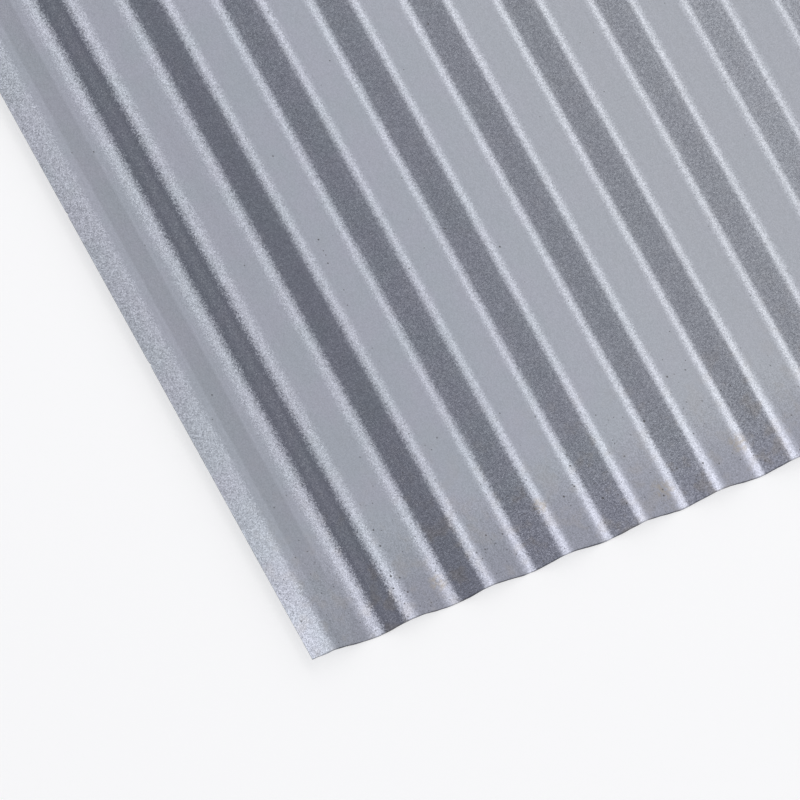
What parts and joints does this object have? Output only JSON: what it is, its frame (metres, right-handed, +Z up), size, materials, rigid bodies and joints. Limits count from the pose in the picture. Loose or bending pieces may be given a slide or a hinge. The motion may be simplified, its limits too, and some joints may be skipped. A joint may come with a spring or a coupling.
{
  "type": "corrugated metal sheet",
  "caption": "Long corrugated sheet of zinc-coated steel with shallow round-crested waves and a flat lap lip along one edge, for roofing, cladding or fencing.",
  "frame": {"origin": "middle of the sheet, on the plane that its troughs rest on", "axes": "+X across the waves towards the plain edge, +Y along the waves, +Z up out of the upper face"},
  "size_m": [0.6682, 2.44, 0.0121],
  "materials": {
    "zinc_coated_steel": "satin"
  },
  "bodies": {
    "root": {"corrugated_sheet": "zinc_coated_steel"}
  },
  "joints": []
}
